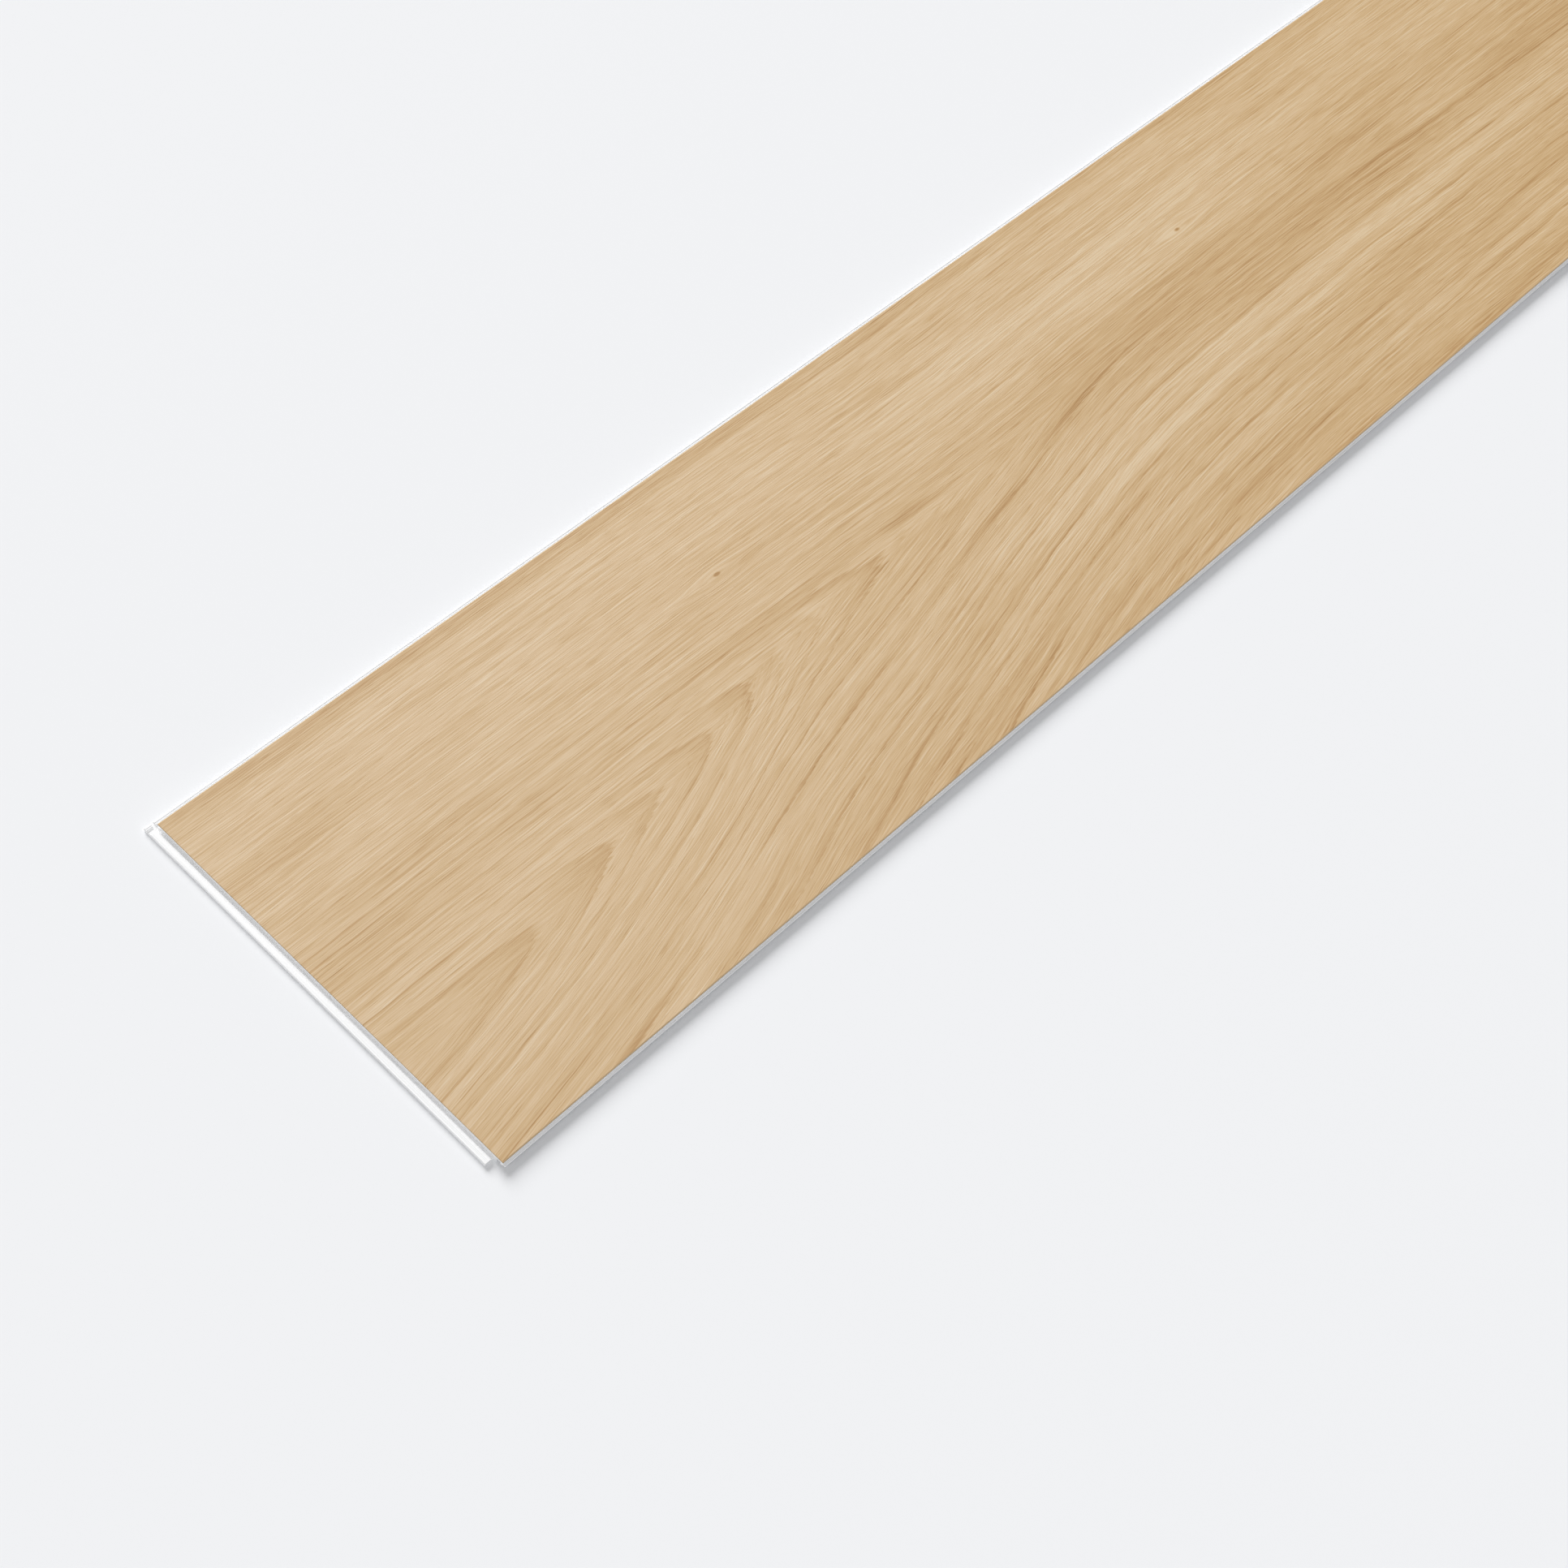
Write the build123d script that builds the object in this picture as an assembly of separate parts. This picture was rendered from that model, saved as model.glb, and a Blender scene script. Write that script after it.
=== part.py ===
from build123d import *
import os

# A click flooring plank of rigid vinyl, lying face up.
# X runs along its length, Y across it and Z up from its underside. The origin is on the
# underside, under the middle of the cover face. Heights in the joints hang from the face.

# Board
cover_length = 1524.0        # face, from end joint to end joint
cover_width = 228.0          # face, from long joint to long joint
plank_thickness = 5.0
face_thickness = 0.6         # printed film and clear wear layer together
underside_break = 0.25       # small chamfer on the milled lower edges

# Face bevels
side_bevel_width = 0.5
side_bevel_depth = 0.35
end_bevel_width = 0.2
end_bevel_depth = 0.15

# Long joint: groove side with its lower lip
roof_depth = 1.55            # face to the roof of the groove
groove_height = 1.25
groove_depth = 1.35          # inward from the joint plane
shelf_width = 0.3            # outward from the joint plane, before the trough
trough_slope = 0.3           # run of the slope from shelf to trough
trough_depth = 0.95          # below the shelf
lock_distance = 1.75         # joint plane to the foot of the locking face
lock_slope = 0.15            # run of the locking face
lock_height = 1.0            # rise of the locking face from the trough
landing_width = 0.8          # low landing between the locking face and the step
step_height = 0.25
side_lip_reach = 3.85        # outer edge of the lip, from the joint plane
side_lip_chamfer = 0.45

# End joint: drop-down lip
end_trough_width = 1.45
end_trough_depth = 3.8       # face to the floor of the trough
end_lock_slope = 0.15
end_ridge_depth = 2.6        # face to the top of the ridge
end_lip_reach = 5.05
end_lip_chamfer = 0.3
snap_top_depth = 1.9         # face to the snap groove in the end wall
snap_height = 0.9
snap_depth = 0.25
end_lip_setback = 5.6        # the end lip stops this far short of the tongue side

# Clearances between two joined planks
tongue_play = 0.05           # over and under the tongue
tip_gap = 0.15               # in front of the tongue
heel_play = 0.08
lock_play = 0.05
floor_gap = 0.1              # under the heel and the hook
ridge_gap = 0.15             # over the ridges
lip_gap = 0.15               # beyond the lips
snap_play = 0.1
hook_play = 0.08

# Cutters
overrun = 2.0                # how far a cutter runs past the board
root_radius = 0.12           # inner corners of the long joint
tip_top_radius = 0.3
tip_bottom_radius = 0.5
groove_roof_radius = 0.15
groove_floor_radius = 0.35
end_root_radius = 0.2        # inner corners of the end joint
nose_radius = 0.1

half_length = cover_length / 2
half_width = cover_width / 2
core_top = plank_thickness - face_thickness

# Levels of the long joint, as heights above the underside
roof_level = plank_thickness - roof_depth
shelf_level = roof_level - groove_height
trough_level = shelf_level - trough_depth
landing_level = trough_level + lock_height
ridge_level = landing_level + step_height

# Levels of the end joint
end_trough_level = plank_thickness - end_trough_depth
end_ridge_level = plank_thickness - end_ridge_depth
snap_top_level = plank_thickness - snap_top_depth
snap_bottom_level = snap_top_level - snap_height


def groove_side_corners():
    """Corners (across, height, radius) of the groove edge, from the underside up."""
    step_at = lock_distance + lock_slope + landing_width
    local = [
        (side_lip_reach - underside_break, 0, 0),
        (side_lip_reach, underside_break, 0),
        (side_lip_reach, ridge_level - side_lip_chamfer, 0),
        (side_lip_reach - side_lip_chamfer, ridge_level, 0),
        (step_at + step_height / 2, ridge_level, 0),
        (step_at, landing_level, 0),
        (lock_distance + lock_slope, landing_level, root_radius),
        (lock_distance, trough_level, root_radius),
        (shelf_width + trough_slope, trough_level, root_radius),
        (shelf_width, shelf_level, root_radius),
        (-groove_depth, shelf_level, groove_floor_radius),
        (-groove_depth, roof_level, groove_roof_radius),
        (0, roof_level, 0),
        (0, core_top, 0),
    ]
    return [(half_width + across, height, radius) for across, height, radius in local]


def tongue_side_corners():
    """Corners of the tongue edge, from the face down, fitting the groove edge of the next row."""
    tongue_top = roof_level - tongue_play
    tongue_bottom = shelf_level + tongue_play
    tongue_tip = groove_depth - tip_gap
    heel_level = trough_level + floor_gap
    heel_back = lock_distance - lock_play
    recess_level = ridge_level + ridge_gap
    recess_wall = side_lip_reach + lip_gap
    heel_back_slope = lock_slope * (recess_level - heel_level) / lock_height
    local = [
        (0, core_top, 0),
        (0, tongue_top, 0),
        (-tongue_tip, tongue_top, tip_top_radius),
        (-tongue_tip, tongue_bottom, tip_bottom_radius),
        (shelf_width + heel_play, tongue_bottom, root_radius),
        (shelf_width + trough_slope + heel_play, heel_level, root_radius),
        (heel_back, heel_level, root_radius),
        (heel_back + heel_back_slope, recess_level, root_radius),
        (recess_wall, recess_level, root_radius),
        (recess_wall, underside_break, 0),
        (recess_wall + underside_break, 0, 0),
    ]
    return [(across - half_width, height, radius) for across, height, radius in local]


def lip_end_waste():
    """What is milled off the near end, leaving the end wall, trough and wide flat ridge."""
    beyond = end_lip_reach + 2 * overrun
    local = [
        (0, plank_thickness + overrun, 0),
        (0, snap_top_level, 0),
        (snap_depth, snap_top_level - snap_depth, nose_radius),
        (snap_depth, snap_bottom_level + snap_depth, nose_radius),
        (0, snap_bottom_level, 0),
        (0, end_trough_level, end_root_radius),
        (-end_trough_width, end_trough_level, end_root_radius),
        (-end_trough_width - end_lock_slope, end_ridge_level, end_root_radius),
        (-end_lip_reach + end_lip_chamfer, end_ridge_level, 0),
        (-end_lip_reach, end_ridge_level - end_lip_chamfer, 0),
        (-end_lip_reach, underside_break, 0),
        (-end_lip_reach + underside_break + overrun, -overrun, 0),
        (-beyond, -overrun, 0),
        (-beyond, plank_thickness + overrun, 0),
    ]
    return [(along - half_length, height, radius) for along, height, radius in local]


def hook_end_waste():
    """What is milled off the far end, leaving the hook that drops behind the next ridge."""
    recess_wall = end_lip_reach + lip_gap
    recess_level = end_ridge_level + ridge_gap
    hook_level = end_trough_level + floor_gap
    nose_tip = snap_depth - snap_play
    hook_back = end_trough_width - hook_play
    beyond = end_lip_reach + 2 * overrun
    local = [
        (-recess_wall - underside_break - overrun, -overrun, 0),
        (-recess_wall, underside_break, 0),
        (-recess_wall, recess_level, end_root_radius),
        (-hook_back - end_lock_slope, recess_level, end_root_radius),
        (-hook_back, hook_level, end_root_radius),
        (-hook_play, hook_level, end_root_radius),
        (-hook_play, snap_bottom_level + snap_play, 0),
        (nose_tip, snap_bottom_level + snap_play + snap_depth, nose_radius),
        (nose_tip, snap_top_level - snap_play - snap_depth, nose_radius),
        (-hook_play, snap_top_level - snap_play + hook_play, 0),
        (0, snap_top_level + hook_play, 0),
        (0, plank_thickness + overrun, 0),
        (beyond, plank_thickness + overrun, 0),
        (beyond, -overrun, 0),
    ]
    return [(along + half_length, height, radius) for along, height, radius in local]


def section(plane, corners):
    """A closed flat section with each corner rounded by its cutter's radius."""
    outline = make_face(Polyline(*[(across, height) for across, height, radius in corners], close=True))
    for across, height, radius in corners:
        if radius:
            outline = fillet(outline.vertices().sort_by_distance((across, height))[0], radius)
    return plane * outline


def corner_block(from_x, to_x, from_y, to_y):
    """A cutting block through the whole thickness between two lengths and two widths."""
    centre = ((from_x + to_x) / 2, (from_y + to_y) / 2, plank_thickness / 2)
    return Pos(*centre) * Box(to_x - from_x, to_y - from_y, plank_thickness + 2 * overrun)


def core():
    """The board with its four click edges, the long ones milled before the ends."""
    stock_reach = half_length + end_lip_reach + overrun
    board = extrude(section(Plane.YZ, tongue_side_corners() + groove_side_corners()), stock_reach, both=True)

    # The end lip stops short of the tongue side, and the tongue starts at the end wall.
    board -= corner_block(-2 * half_length, -half_length, -2 * half_width, end_lip_setback - half_width)

    # The side lip stops where the next plank's end lip comes in under the hook.
    far_x = half_length - end_lip_reach - lip_gap
    board -= corner_block(far_x, 2 * half_length, half_width, 2 * half_width)

    cutter_reach = half_width + side_lip_reach + overrun
    board -= extrude(section(Plane.XZ, lip_end_waste()), cutter_reach, both=True)
    board -= extrude(section(Plane.XZ, hook_end_waste()), cutter_reach, both=True)
    return board


def bevelled_strip(half_span, bevel_width, bevel_depth):
    """Corners of the face layer across one direction, with a bevel at each edge."""
    bevel_level = plank_thickness - bevel_depth
    return [
        (-half_span, core_top, 0),
        (half_span, core_top, 0),
        (half_span, bevel_level, 0),
        (half_span - bevel_width, plank_thickness, 0),
        (-half_span + bevel_width, plank_thickness, 0),
        (-half_span, bevel_level, 0),
    ]


def decor_layer():
    """The printed film with its wear layer, bevelled along all four joints."""
    long_section = section(Plane.YZ, bevelled_strip(half_width, side_bevel_width, side_bevel_depth))
    end_section = section(Plane.XZ, bevelled_strip(half_length, end_bevel_width, end_bevel_depth))
    return extrude(long_section, half_length, both=True) & extrude(end_section, half_width, both=True)


os.makedirs("parts", exist_ok=True)
export_step(core(), "parts/core.step")
export_step(decor_layer(), "parts/decor_layer.step")
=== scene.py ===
import math

import bmesh
import bpy
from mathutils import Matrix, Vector


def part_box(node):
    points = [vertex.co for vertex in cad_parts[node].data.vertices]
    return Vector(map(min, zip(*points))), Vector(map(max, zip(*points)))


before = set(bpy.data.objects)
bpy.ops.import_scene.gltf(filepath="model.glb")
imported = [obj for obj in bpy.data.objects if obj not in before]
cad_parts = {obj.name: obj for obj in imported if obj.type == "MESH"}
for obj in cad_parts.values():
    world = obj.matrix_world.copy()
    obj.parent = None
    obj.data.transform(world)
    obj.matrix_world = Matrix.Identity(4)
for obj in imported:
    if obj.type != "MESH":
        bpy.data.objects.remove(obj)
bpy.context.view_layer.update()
print("plank loaded:", ", ".join(sorted(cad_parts)))

mmPerMetre = 1000.0


# Colours are written as sRGB hex, and turned linear here
def hexColour(text):
    levels = [int(text[i:i + 2], 16) / 255 for i in (1, 3, 5)]
    return [c / 12.92 if c <= 0.04045 else ((c + 0.055) / 1.055) ** 2.4 for c in levels] + [1.0]


def newMaterial(name):
    material = bpy.data.materials.new(name)
    material.use_nodes = True
    material.node_tree.nodes.clear()
    return material


# Adds one node with its settings, and links or sets its inputs
def addNode(material, kind, inputs=None, **settings):
    tree = material.node_tree
    node = tree.nodes.new("ShaderNode" + kind)
    for name, value in settings.items():
        setattr(node, name, value)
    for key, value in (inputs or {}).items():
        if isinstance(value, bpy.types.Node):
            value = next(out for out in value.outputs if out.enabled)
        if isinstance(value, bpy.types.NodeSocket):
            tree.links.new(value, node.inputs[key])
        else:
            node.inputs[key].default_value = value
    return node


# Lays points on a Float Curve, with straight runs or smooth ones between them
def shapeCurve(node, points, handle="AUTO"):
    curve = node.mapping.curves[0]
    while len(curve.points) < len(points):
        curve.points.new(0.5, 0.5)
    for point, place in zip(curve.points, points):
        point.location = place
        point.handle_type = handle
    node.mapping.update()
    return node


# Every size here is in mm. A noise also has a shift, which keeps it unlike the others.
decor = {
    "bevelWidth": 0.5,
    "bevelDepth": 0.36,         # a hair past the real depth, so that the bevel keeps its foot
    # Where the grain parts round a pin knot, and how much
    "pinKnots": [(-479, 46.5), (-120, 47.7)],
    "knotParting": {"halves": (26, 7), "reach": 1.4, "strength": .8},
    # How the figure wanders over a hand's length and a finger's width: length, width, reach, shift
    "wander": [(220, 34, 2.6, 3.7), (36, 5, .9, 8.1)],
    # Ring lines on the groove side run level: the line that they are counted from (along, across)
    "levelLine": [(-780, -60), (-430, -59), (-330, -60), (-200, -56), (0, -52), (780, -45)],
    # Ring lines on the tongue side climb in a fan, held by three lines of known count
    "fanLines": {
        50.0: [(-780, -94), (-697, -78), (-610, -51), (-540, -25), (-480, 11), (-425, 35), (-340, 46),
               (-230, 42), (0, 29), (300, 11), (780, 6)],
        76.4: [(-780, -118), (-697, -102), (-610, -81), (-520, -53), (-425, -33), (-330, -12), (-230, 7),
               (-130, 11), (100, 7), (780, -8)],
        100.0: [(-780, -235), (-650, -180), (-540, -133), (-425, -95), (-330, -71), (-230, -58), (-80, -53),
                (200, -54), (780, -75)],
    },
    "lineBox": ((-780, 780), (-250, 100)),  # the length and width that hold all these lines
    # Where the two sides meet, in counts: roundness, fading of the turn, blending of the grain
    "turnWidth": 15.0,
    "turnSpan": (6, 26),
    "blendSpan": (-14, 3),
    # Level fibres comb the ring lines: reach away from the turns and at them
    "comb": {"length": 24, "width": 1.1, "reach": .5, "turnReach": 2.6},
    # Where each growth ring ends (count, strength of its dark line)
    "rings": [(12, .5), (25, .7), (35.6, .9), (41.6, .75), (48.6, .8), (56.4, .8), (62, .4), (66, .5),
              (69.8, .95), (75.5, .95), (80.3, 1), (84.3, .4), (88, .9), (93.8, .85), (98.1, .95),
              (100.8, .7), (105.4, 1), (111, .6), (115.3, .8), (117.4, .5), (122, .5), (126, .9),
              (133, .5), (139, .6), (145, .4), (149, .7), (155, .5), (160, .7), (166, .8), (171, .9)],
    "farthest": (200.0, .4),    # count and strength past the last ring
    # Late wood darkens slowly and ends sharply, and shades in from farther off at the turns
    "lateNarrow": [(0, .1), (.03, 0), (.55, 0), (.72, .2), (.87, .42), (.94, 1), (.98, .9), (1, .1)],
    "lateWide": [(0, .2), (.06, 0), (.2, .05), (.6, .35), (.86, .7), (.95, .95), (1, .2)],
    # Rings fade in and out along their length
    "fade": {"length": 110, "width": 6, "shift": 4.4, "from": .35, "to": .6, "least": .4},
    "ringDepth": 0.43,
    "baseTone": 0.71,
    # What changes along (X) or across (Y) the plank: from, to, value before, value after
    "slopes": {
        "turnShow": ("X", -400, -340, 1.05, .4),    # the farther turns are faint
        "sideShow": ("Y", 5, 35, 1.0, .45),         # rings are faint towards the groove edge
        "gain": ("X", -620, -250, .85, 1.12),       # streaks are stronger past the near part
        "warmth": ("X", -650, 50, 0.0, 1.0),        # the print is warmer towards the far end
    },
    "fanSpread": 2.8,           # mm to a ring count on the tongue side, for streaks
    # Streaks that follow the rings: length, width, strength, detail, shift
    "longStreaks": [(420, 13, .04, 0.0, 1.3), (110, 1.4, .06, 2.0, 5.3)],
    # Fibres between them
    "shortStreaks": [(60, .8, .09, 1.0, 9.3), (16, .55, .075, 1.0, 13.3)],
    # Thin veins that follow the rings: length, spacing, strength, shift
    "veins": [(380, 5.0, .15, 31.0), (240, 2.4, .08, 37.0)],
    "veinReach": .05,
    # Open pores, drawn 0.6 mm wide so that they show
    "pores": {"length": 12.0, "width": 0.6, "shift": 2.2, "from": .68, "to": .8, "strength": .12},
    # Broad bands: middle along and across, half length and width, lighter or darker
    "bands": [(-160, 9, 200, 22, -.16), (-100, -28, 190, 10, .12), (60, -22, 130, 12, .1),
              (-10, -54, 170, 6, -.15), (200, 13, 90, 15, -.2), (-300, -42, 110, 11, .12),
              (-180, 64, 210, 36, .1), (-430, 88, 130, 9, .12), (-450, 112, 420, 10, -.21),
              (-200, -112, 700, 28, -.13), (-680, 25, 90, 8, -.11), (-500, 8, 60, 7, -.1),
              (-740, 40, 80, 100, -.05), (-350, 2, 38, 6, .22), (-384, 11, 18, 4, -.16)],
    "bandEdge": (.4, 1.3),
    # Each pin knot has a light halo, a faint tail and a dark heart: offset, halves, lighter or darker
    "knotSpots": [((0, 0), (20, 5), .1), ((5, .4), (12, 1.1), -.2), ((0, 0), (2.4, 1.3), -.9)],
    "knotEdge": (.2, 1.2),
    "oak": [(0, "#AD8759"), (.25, "#BC996D"), (.5, "#C8AA80"), (.75, "#D2B793"), (1, "#DBC6A8")],
    "warmTint": "#FEFAF0",
    "bevel": "#D4B78E",
    # the film's cut side: brown print edge, darkened further with painted shade along the plank's edges
    "cutSideAndEdgeShade": "#5C4B37",
    "embossDepth": 0.1,
    "poreHollow": .25,          # how deep a pore is beside the fibres' ribs
    "dullness": ((-.15, .58), (.1, .44)),           # (height of the rib, roughness), low and high
    "ior": 1.5,
    "specular": 0.3,
}


# How far a place is from a spot, as a share of the spot's half length and half width
def spotSpan(material, place, middle, halves):
    centred = addNode(material, "Mapping", {
        "Vector": place, "Location": (-middle[0] / halves[0], -middle[1] / halves[1], 0),
        "Scale": (1 / halves[0], 1 / halves[1], 0)})
    return addNode(material, "VectorMath", {0: centred}, operation="LENGTH").outputs["Value"]


# Lightens or darkens the tone round each spot, with soft edges
def addSpots(film, tone, place, spots, edge):
    for middle, halves, strength in spots:
        span = spotSpan(film, place, middle, halves)
        spot = addNode(film, "MapRange", {
            "Value": span, "From Min": edge[0], "From Max": edge[1],
            "To Min": strength, "To Max": 0.0}, interpolation_type="SMOOTHSTEP")
        tone = addNode(film, "Math", {0: tone, 1: spot}, operation="ADD")
    return tone


# The place across the plank, parted round each pin knot and wandering a little
def wanderingPlace(film, place, across, settings):
    wander = across
    parting = settings["knotParting"]
    for knot in settings["pinKnots"]:
        span = spotSpan(film, place, knot, parting["halves"])
        share = addNode(film, "MapRange", {
            "Value": span, "From Min": 0.0, "From Max": parting["reach"],
            "To Min": -parting["strength"], "To Max": 0.0}, interpolation_type="SMOOTHSTEP")
        offKnot = addNode(film, "Math", {0: across, 1: knot[1]}, operation="SUBTRACT")
        wander = addNode(film, "Math", {0: offKnot, 1: share, 2: wander}, operation="MULTIPLY_ADD")
    for length, width, reach, shift in settings["wander"]:
        spread = addNode(film, "Mapping", {"Vector": place, "Location": (shift, shift, 0),
                                           "Scale": (1 / length, 1 / width, 0)})
        sway = addNode(film, "TexNoise", {"Vector": spread, "Scale": 1.0, "Detail": 1.0},
                       noise_dimensions="2D")
        centred = addNode(film, "Math", {0: sway, 1: 0.5}, operation="SUBTRACT")
        wander = addNode(film, "Math", {0: centred, 1: reach, 2: wander}, operation="MULTIPLY_ADD")
    return wander


# The lines that steer the rings, each a curve along the plank
def steeringLines(film, along, settings):
    (start, end), (low, high) = settings["lineBox"]
    station = addNode(film, "MapRange", {"Value": along, "From Min": start, "From Max": end})
    lines = []
    for points in (settings["levelLine"], *settings["fanLines"].values()):
        scaled = [((x - start) / (end - start), (y - low) / (high - low)) for x, y in points]
        line = shapeCurve(addNode(film, "FloatCurve", {"Value": station}), scaled)
        lines.append(addNode(film, "MapRange", {"Value": line, "To Min": low, "To Max": high}))
    return lines


# Counts the rings from the groove side and from the fan, and joins the two at a turn
def ringField(film, place, along, wander, settings):
    levelLine, highLine, middleLine, lowLine = steeringLines(film, along, settings)
    upper = addNode(film, "Math", {0: wander, 1: levelLine}, operation="SUBTRACT")

    highCount, middleCount, lowCount = settings["fanLines"]
    offMiddle = addNode(film, "Math", {0: wander, 1: middleLine}, operation="SUBTRACT")
    lower = middleCount
    for line, count in ((highLine, highCount), (lowLine, lowCount)):
        room = addNode(film, "Math", {0: line, 1: middleLine}, operation="SUBTRACT")
        part = addNode(film, "Math", {0: offMiddle, 1: room}, operation="DIVIDE")
        onSide = addNode(film, "Math", {0: part, 1: 0.0}, operation="MAXIMUM")
        lower = addNode(film, "Math", {0: onSide, 1: count - middleCount, 2: lower},
                        operation="MULTIPLY_ADD")

    # the larger count rules, with a rounded turn where they meet
    gap = addNode(film, "Math", {0: upper, 1: lower}, operation="SUBTRACT")
    squared = addNode(film, "Math", {0: gap, 1: gap, 2: settings["turnWidth"] ** 2}, operation="MULTIPLY_ADD")
    rounded = addNode(film, "Math", {0: squared}, operation="SQRT")
    both = addNode(film, "Math", {0: upper, 1: lower}, operation="ADD")
    twice = addNode(film, "Math", {0: both, 1: rounded}, operation="ADD")
    smooth = addNode(film, "Math", {0: twice, 1: 0.5}, operation="MULTIPLY")
    offTurn = addNode(film, "Math", {0: gap}, operation="ABSOLUTE")
    near, far = settings["turnSpan"]
    atTurn = addNode(film, "MapRange", {"Value": offTurn, "From Min": near, "From Max": far,
                                        "To Min": 1.0, "To Max": 0.0}, interpolation_type="SMOOTHSTEP")

    comb = settings["comb"]
    combPlace = addNode(film, "Mapping", {"Vector": place,
                                          "Scale": (1 / comb["length"], 1 / comb["width"], 0)})
    combNoise = addNode(film, "TexNoise", {"Vector": combPlace, "Scale": 1.0, "Detail": 1.0},
                        noise_dimensions="2D")
    combed = addNode(film, "Math", {0: combNoise, 1: 0.5}, operation="SUBTRACT")
    combReach = addNode(film, "MapRange", {"Value": atTurn, "To Min": comb["reach"],
                                           "To Max": comb["turnReach"]})
    count = addNode(film, "Math", {0: combed, 1: combReach, 2: smooth}, operation="MULTIPLY_ADD")

    fanSide, levelSide = settings["blendSpan"]
    onUpper = addNode(film, "MapRange", {"Value": gap, "From Min": fanSide, "From Max": levelSide},
                      interpolation_type="SMOOTHSTEP")
    return {"upper": upper, "lower": lower, "offMiddle": offMiddle, "count": count, "atTurn": atTurn,
            "onUpper": onUpper}


# How strong each ring is, and how far into its dark late wood a place lies
def lateWood(film, field, settings):
    rings = settings["rings"]
    steps = len(rings) + 1
    farthest, lastStrength = settings["farthest"]
    share = addNode(film, "Math", {0: field["count"], 1: farthest}, operation="DIVIDE")
    levels = [(level / farthest, (k + 1) / steps) for k, (level, _) in enumerate(rings)]
    ringShare = shapeCurve(addNode(film, "FloatCurve", {"Value": share}), [(0, 0), *levels, (1, 1)], "VECTOR")
    ringNumber = addNode(film, "Math", {0: ringShare, 1: steps}, operation="MULTIPLY")
    ringPhase = addNode(film, "Math", {0: ringNumber}, operation="FRACT")
    wholeRing = addNode(film, "Math", {0: ringNumber}, operation="FLOOR")
    ringStep = addNode(film, "Math", {0: wholeRing, 1: steps}, operation="DIVIDE")
    strengths = [(k / steps, strength) for k, (_, strength) in enumerate(rings)]
    ringStrength = shapeCurve(addNode(film, "FloatCurve", {"Value": ringStep}),
                              [*strengths, (1, lastStrength)], "VECTOR")
    narrow, wide = [shapeCurve(addNode(film, "FloatCurve", {"Value": ringPhase}), settings[name], "VECTOR")
                    for name in ("lateNarrow", "lateWide")]
    return ringStrength, addNode(film, "Mix", {0: field["atTurn"], 2: narrow, 3: wide})


# A noise drawn out along the grain, laid for each side of the figure and blended where they meet
def grainNoise(film, field, places, length, width, detail, shift):
    parts = []
    for laid in places:
        spread = addNode(film, "Mapping", {"Vector": laid, "Location": (shift, shift * 1.7, 0),
                                           "Scale": (1 / length, 1 / width, 0)})
        parts.append(addNode(film, "TexNoise", {"Vector": spread, "Scale": 1.0, "Detail": detail},
                             noise_dimensions="2D"))
    return addNode(film, "Mix", {0: field["onUpper"], 2: parts[0], 3: parts[1]})


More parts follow.
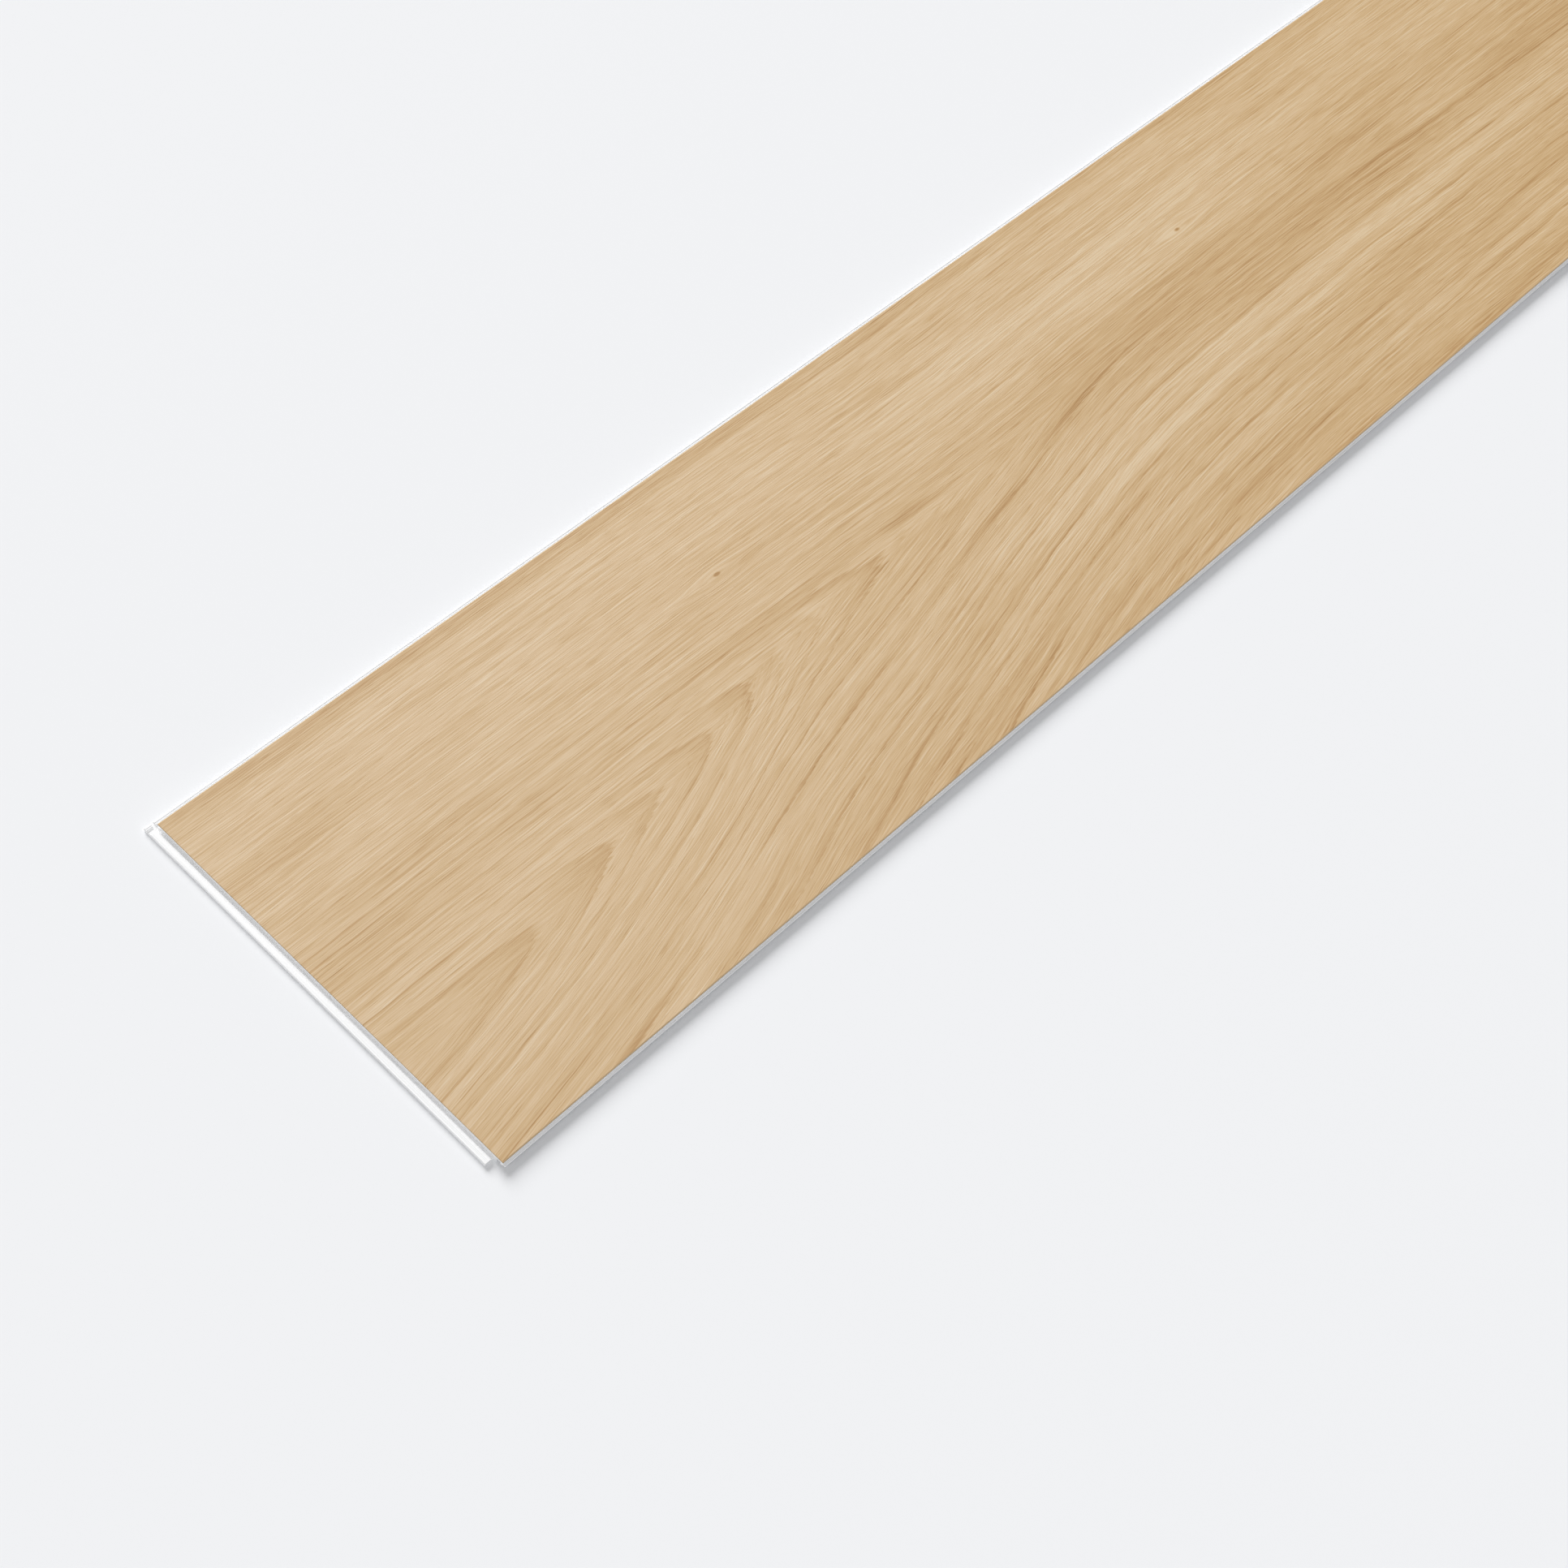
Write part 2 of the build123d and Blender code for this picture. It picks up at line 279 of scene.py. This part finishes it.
def buildDecorMaterial(settings, halfWidth, faceLevel):
    # Printed PVC film under a clear embossed wear layer: pale oak with a satin, faintly ribbed skin
    film = newMaterial("printedOakFilm")
    place = addNode(film, "TexCoord").outputs["Object"]
    millimetres = addNode(film, "Mapping", {"Vector": place, "Scale": (mmPerMetre,) * 3})
    axes = addNode(film, "SeparateXYZ", {0: millimetres})
    along, across, height = axes.outputs
    slopes = {}
    for name, (axis, start, end, before, after) in settings["slopes"].items():
        slopes[name] = addNode(film, "MapRange", {"Value": axes.outputs[axis], "From Min": start,
                                                  "From Max": end, "To Min": before, "To Max": after})

    wander = wanderingPlace(film, millimetres, across, settings)
    field = ringField(film, millimetres, along, wander, settings)

    # long streaks follow the rings, and short fibres run level or with the fan's middle line
    lowerWide = addNode(film, "Math", {0: field["lower"], 1: settings["fanSpread"]}, operation="MULTIPLY")
    longPlaces = [addNode(film, "CombineXYZ", {0: along, 1: side}) for side in (lowerWide, field["upper"])]
    shortPlaces = [addNode(film, "CombineXYZ", {0: along, 1: side})
                   for side in (field["offMiddle"], field["upper"])]

    # dark late wood of each ring
    fade = settings["fade"]
    fadeNoise = grainNoise(film, field, longPlaces, fade["length"], fade["width"], 2.0, fade["shift"])
    faded = addNode(film, "MapRange", {"Value": fadeNoise, "From Min": fade["from"], "From Max": fade["to"],
                                       "To Min": fade["least"], "To Max": 1.0})
    shown = addNode(film, "Mix", {0: field["atTurn"], 2: faded, 3: slopes["turnShow"]})
    ringStrength, lateShare = lateWood(film, field, settings)
    ringWeight = addNode(film, "Math", {0: ringStrength, 1: shown}, operation="MULTIPLY")
    ringSided = addNode(film, "Math", {0: ringWeight, 1: slopes["sideShow"]}, operation="MULTIPLY")
    ringDark = addNode(film, "Math", {0: ringSided, 1: lateShare}, operation="MULTIPLY")
    tone = addNode(film, "Math", {0: ringDark, 1: -settings["ringDepth"], 2: settings["baseTone"]},
                   operation="MULTIPLY_ADD")

    # streaks and fibres, of which the fibres are pressed into the skin too
    fibre = None
    layers = [(longPlaces, *layer) for layer in settings["longStreaks"]]
    layers += [(shortPlaces, *layer) for layer in settings["shortStreaks"]]
    for places, length, width, strength, detail, shift in layers:
        streak = grainNoise(film, field, places, length, width, detail, shift)
        even = addNode(film, "MapRange", {"Value": streak, "From Min": 0.35, "From Max": 0.65,
                                          "To Min": -strength, "To Max": strength}, clamp=False)
        amount = addNode(film, "Math", {0: even, 1: slopes["gain"]}, operation="MULTIPLY")
        tone = addNode(film, "Math", {0: tone, 1: amount}, operation="ADD")
        if places is shortPlaces:
            fibre = amount if fibre is None else addNode(film, "Math", {0: fibre, 1: amount}, operation="ADD")

    # veins are the level lines of a drawn-out noise
    for length, spacing, strength, shift in settings["veins"]:
        noise = grainNoise(film, field, longPlaces, length, spacing, 1.0, shift)
        offLevel = addNode(film, "Math", {0: noise, 1: 0.5}, operation="SUBTRACT")
        nearLevel = addNode(film, "Math", {0: offLevel}, operation="ABSOLUTE")
        vein = addNode(film, "MapRange", {
            "Value": nearLevel, "From Min": 0.0, "From Max": settings["veinReach"],
            "To Min": -strength, "To Max": 0.0}, interpolation_type="SMOOTHSTEP")
        fadedVein = addNode(film, "Math", {0: vein, 1: faded}, operation="MULTIPLY")
        tone = addNode(film, "Math", {0: fadedVein, 1: slopes["gain"], 2: tone}, operation="MULTIPLY_ADD")

    pores = settings["pores"]
    poreNoise = grainNoise(film, field, shortPlaces, pores["length"], pores["width"], 0.0, pores["shift"])
    poreMask = addNode(film, "MapRange", {"Value": poreNoise, "From Min": pores["from"],
                                          "From Max": pores["to"]}, interpolation_type="SMOOTHSTEP")
    tone = addNode(film, "Math", {0: poreMask, 1: -pores["strength"], 2: tone}, operation="MULTIPLY_ADD")

    # broad bands wander with the grain, and pin knots stay put
    swayed = addNode(film, "CombineXYZ", {0: along, 1: wander})
    bands = [((x, y), (halfLong, halfWide), strength)
             for x, y, halfLong, halfWide, strength in settings["bands"]]
    tone = addSpots(film, tone, swayed, bands, settings["bandEdge"])
    for x, y in settings["pinKnots"]:
        spots = [((x + offset[0], y + offset[1]), halves, strength)
                 for offset, halves, strength in settings["knotSpots"]]
        tone = addSpots(film, tone, millimetres, spots, settings["knotEdge"])

    oak = addNode(film, "ValToRGB", {"Fac": tone})
    stops = settings["oak"]
    while len(oak.color_ramp.elements) < len(stops):
        oak.color_ramp.elements.new(0.5)
    for element, (position, colour) in zip(oak.color_ramp.elements, stops):
        element.position = position
        element.color = hexColour(colour)
    tinted = addNode(film, "Mix", {0: slopes["warmth"], 6: oak.outputs["Color"],
                                   7: hexColour(settings["warmTint"])},
                     data_type="RGBA", blend_type="MULTIPLY")

    # pressed bevels are browner; the film's cut side is brown print, darkened further as painted shade along
    # the plank's edges
    fromMiddle = addNode(film, "Math", {0: across}, operation="ABSOLUTE")
    bevel = addNode(film, "Math", {0: fromMiddle, 1: halfWidth - settings["bevelWidth"]},
                    operation="GREATER_THAN")
    edged = addNode(film, "Mix", {0: bevel, 6: tinted.outputs[2], 7: hexColour(settings["bevel"])},
                    data_type="RGBA")
    cut = addNode(film, "Math", {0: height, 1: faceLevel - settings["bevelDepth"]}, operation="LESS_THAN")
    edgedWithPaintedShade = addNode(film, "Mix", {0: cut, 6: edged.outputs[2], 7: hexColour(settings["cutSideAndEdgeShade"])},
                    data_type="RGBA")

    # the wear layer is pressed along the fibres, and its hollows are duller
    hollow = addNode(film, "Math", {0: poreMask, 1: -settings["poreHollow"], 2: fibre},
                     operation="MULTIPLY_ADD")
    emboss = addNode(film, "Bump", {"Height": hollow, "Strength": 1.0,
                                    "Distance": settings["embossDepth"] / mmPerMetre})
    (low, dull), (high, smoother) = settings["dullness"]
    sheen = addNode(film, "MapRange", {"Value": hollow, "From Min": low, "From Max": high,
                                       "To Min": dull, "To Max": smoother})
    skin = addNode(film, "BsdfPrincipled", {
        "Base Color": edgedWithPaintedShade.outputs[2], "Roughness": sheen, "IOR": settings["ior"],
        "Specular IOR Level": settings["specular"], "Normal": emboss})
    addNode(film, "OutputMaterial", {"Surface": skin})
    return film


core = {
    "board": "#FAFAFB",
    "speckle": "#F5F5F4",
    "speckleScale": 1.2,        # per mm
    "speckleSpan": (.5, .7),
    "cutterLine": "#E9EAEA",
    "lineSpacing": 0.35,        # mm across the cut
    "lineLength": 140.0,        # mm along it
    "lineDepth": 0.02,          # mm
    "lineSpan": (.45, .75),
    "endCut": 760.4,            # mm from the middle to where the end cutters begin
    "skinTop": 0.02,            # mm above the underside, where its smooth skin ends
    "skinRoughness": 0.42,
    "milledRoughness": 0.62,
    "ior": 1.5,
    "specular": 0.3,
}


def buildCoreMaterial(settings):
    # Extruded stone-plastic core, milled along its edges: dense matte white with fine cutter lines
    board = newMaterial("milledStonePlasticCore")
    place = addNode(board, "TexCoord").outputs["Object"]
    millimetres = addNode(board, "Mapping", {"Vector": place, "Scale": (mmPerMetre,) * 3})
    along, _, height = addNode(board, "SeparateXYZ", {0: millimetres}).outputs
    speckleNoise = addNode(board, "TexNoise", {"Vector": millimetres, "Scale": settings["speckleScale"],
                                               "Detail": 3.0})
    low, high = settings["speckleSpan"]
    speckleMask = addNode(board, "MapRange", {"Value": speckleNoise, "From Min": low, "From Max": high})
    colour = addNode(board, "Mix", {0: speckleMask, 6: hexColour(settings["board"]),
                                    7: hexColour(settings["speckle"])}, data_type="RGBA")

    # the lines run along the cut: lengthways on the long edges, crossways on the ends
    fine, long = 1 / settings["lineSpacing"], 1 / settings["lineLength"]
    lines = []
    for scale in ((long, fine, fine), (fine, long, fine)):
        drawnOut = addNode(board, "Mapping", {"Vector": millimetres, "Scale": scale})
        lines.append(addNode(board, "TexNoise", {"Vector": drawnOut, "Scale": 1.0, "Detail": 1.0}))
    fromMiddle = addNode(board, "Math", {0: along}, operation="ABSOLUTE")
    onEnd = addNode(board, "Math", {0: fromMiddle, 1: settings["endCut"]}, operation="GREATER_THAN")
    cutterLines = addNode(board, "Mix", {0: onEnd, 2: lines[0], 3: lines[1]})
    low, high = settings["lineSpan"]
    lineMask = addNode(board, "MapRange", {"Value": cutterLines, "From Min": low, "From Max": high})

    # the underside is the smooth pressed skin of the board, with no cutter lines
    milled = addNode(board, "Math", {0: height, 1: settings["skinTop"]}, operation="GREATER_THAN")
    shownLines = addNode(board, "Math", {0: lineMask, 1: milled}, operation="MULTIPLY")
    lined = addNode(board, "Mix", {0: shownLines, 6: colour.outputs[2],
                                   7: hexColour(settings["cutterLine"])}, data_type="RGBA")
    dullness = addNode(board, "MapRange", {"Value": milled, "To Min": settings["skinRoughness"],
                                           "To Max": settings["milledRoughness"]})
    ridges = addNode(board, "Bump", {"Height": shownLines, "Strength": 1.0,
                                     "Distance": -settings["lineDepth"] / mmPerMetre})
    body = addNode(board, "BsdfPrincipled", {
        "Base Color": lined.outputs[2], "Roughness": dullness, "IOR": settings["ior"],
        "Specular IOR Level": settings["specular"], "Normal": ridges})
    addNode(board, "OutputMaterial", {"Surface": body})
    return board


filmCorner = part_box("decor_layer")[1]
finishes = {
    "decor_layer": buildDecorMaterial(decor, filmCorner.y * mmPerMetre, filmCorner.z * mmPerMetre),
    "core": buildCoreMaterial(core),
}
for name, material in finishes.items():
    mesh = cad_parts[name].data
    mesh.materials.clear()
    mesh.materials.append(material)
print("oak film and core board finished")


studio = {
    "floorColour": "#EDEEF0",
    "floorReach": 6.0,           # m
    # Far soft lamps: the way that each stands, its strength and how wide it looks (degrees)
    "lamps": {
        "key": ((0.55, 1.45, 1.0), 3.05, 34.0),
        "fill": ((-1.0, -0.6, 1.0), 0.9, 60.0),
    },
    "skyStrength": 0.32,
    "skyColour": "#FFFFFF",
    "seenSky": "#F0F1F3",        # what the camera sees past the floor
}

floorMesh = bmesh.new()
bmesh.ops.create_grid(floorMesh, x_segments=1, y_segments=1, size=studio["floorReach"])
floorData = bpy.data.meshes.new("floor")
floorMesh.to_mesh(floorData)
floorMesh.free()
floor = bpy.data.objects.new("floor", floorData)
bpy.context.scene.collection.objects.link(floor)
# Matte painted studio floor, nearly white
paint = newMaterial("mattePaintedFloor")
paintSkin = addNode(paint, "BsdfPrincipled", {"Base Color": hexColour(studio["floorColour"]),
                                              "Roughness": 0.9, "IOR": 1.4})
addNode(paint, "OutputMaterial", {"Surface": paintSkin})
floorData.materials.append(paint)

for name, (place, strength, spread) in studio["lamps"].items():
    lampData = bpy.data.lights.new(name, "SUN")
    lampData.energy = strength
    lampData.angle = math.radians(spread)
    lamp = bpy.data.objects.new(name, lampData)
    lamp.rotation_euler = Vector(place).to_track_quat("Z", "Y").to_euler()
    bpy.context.scene.collection.objects.link(lamp)

world = bpy.data.worlds.new("studio")
bpy.context.scene.world = world
world.use_nodes = True
world.node_tree.nodes.clear()
skyLight = addNode(world, "Background", {"Color": hexColour(studio["skyColour"]),
                                         "Strength": studio["skyStrength"]})
seenSky = addNode(world, "Background", {"Color": hexColour(studio["seenSky"]), "Strength": 1.0})
ray = addNode(world, "LightPath")
sky = addNode(world, "MixShader", {0: ray.outputs["Is Camera Ray"], 1: skyLight, 2: seenSky})
addNode(world, "OutputWorld", {"Surface": sky})
print("floor and lights set")


view = {
    "place": (-1.02690, -0.45075, 0.91163),         # m
    "turn": (34.21081, -3.74629, -45.70606),        # degrees
    "sensor": 36.0,
    "lens": 55.1065,
    "nearest": 0.01,
}

cameraData = bpy.data.cameras.new("camera")
cameraData.sensor_width = view["sensor"]
cameraData.lens = view["lens"]
cameraData.clip_start = view["nearest"]
camera = bpy.data.objects.new("camera", cameraData)
camera.location = view["place"]
camera.rotation_euler = [math.radians(a) for a in view["turn"]]
bpy.context.scene.collection.objects.link(camera)
bpy.context.scene.camera = camera
bpy.context.scene.view_settings.view_transform = "Standard"
print("camera placed")
